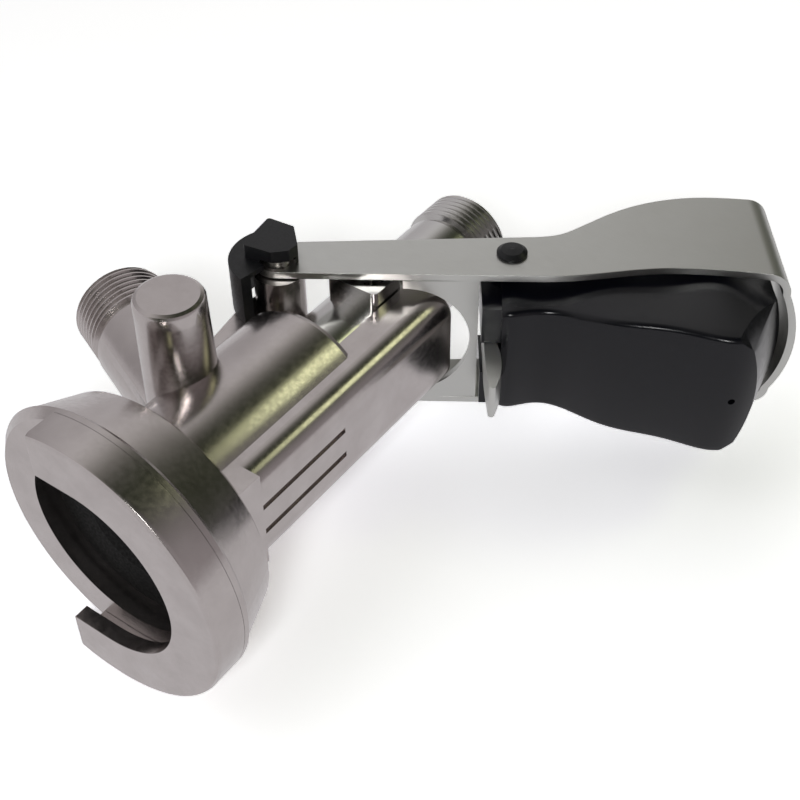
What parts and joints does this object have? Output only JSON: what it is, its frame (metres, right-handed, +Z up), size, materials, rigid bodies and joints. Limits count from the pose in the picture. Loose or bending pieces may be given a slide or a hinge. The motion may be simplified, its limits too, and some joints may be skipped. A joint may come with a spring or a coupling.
{
  "type": "keg coupler",
  "caption": "Hand-lever keg coupler that slides onto a flat-head keg fitting, with threaded gas inlet and beer outlet and a squeeze grip that releases the lever.",
  "frame": {"origin": "centre of the keg-side face, on the probe's axis", "axes": "+Z up along the probe to the beer outlet, +X towards the lever, Y along the lever's hinge pin"},
  "size_m": [0.1621, 0.0778, 0.1887],
  "materials": {
    "cast_metal": "satin nickel plate on a forged body",
    "probe_steel": "polished stainless steel",
    "lever_steel": "satin stainless strap",
    "grip_plastic": "glossy black moulding",
    "cap_plastic": "black moulding",
    "seal_rubber": "black rubber",
    "valve_rubber": "pale rubber",
    "ball_plastic": "white moulding",
    "pin_steel": "turned steel"
  },
  "bodies": {
    "body": {"coupler_body": "cast_metal", "horseshoe_plate": "cast_metal", "gas_branch": "cast_metal", "keg_seal": "seal_rubber", "seal_backing_ring": "pin_steel", "bore_o_ring_lower": "seal_rubber", "bore_o_ring_upper": "seal_rubber", "gas_check_valve": "valve_rubber", "gas_valve_retainer": "ball_plastic", "hinge_pin": "pin_steel", "hinge_pin_clips": "pin_steel", "hinge_cap_left": "cap_plastic", "hinge_cap_right": "cap_plastic"},
    "probe": {"probe_tube": "probe_steel", "probe_tip_seal": "seal_rubber", "drive_crosshead": "probe_steel", "ball_cage": "pin_steel"},
    "ball": {"beer_check_ball": "ball_plastic"},
    "lever": {"lever_bow": "lever_steel", "yoke_plate": "lever_steel", "drive_pins": "pin_steel", "grip_pin": "cap_plastic", "grip_spring": "pin_steel"},
    "grip": {"squeeze_grip": "grip_plastic", "latch_pawl": "pin_steel"}
  },
  "joints": [
    {"name": "lever_hinge", "type": "hinge", "parent": "body", "child": "lever", "pos_m": [-0.0172, 0, 0.09], "axis": [0, 1, 0], "range_deg": [0, 47]},
    {"name": "probe_slide", "type": "slide", "parent": "body", "child": "probe", "axis": [0, 0, 1], "range_m": [-0.0165, 0]},
    {"name": "grip_squeeze", "type": "hinge", "parent": "lever", "child": "grip", "pos_m": [0.03016, 0, 0.12731], "axis": [0, -1, 0], "range_deg": [0, 4], "stiffness_Nm_per_rad": 0.4, "springref_deg": -14.32},
    {"name": "ball_lift", "type": "slide", "parent": "probe", "child": "ball", "axis": [0, 0, 1], "range_m": [0, 0.003]}
  ],
  "couplings": [
    {"joint": "probe_slide", "follows": "lever_hinge", "m_per_rad": -0.020006}
  ]
}
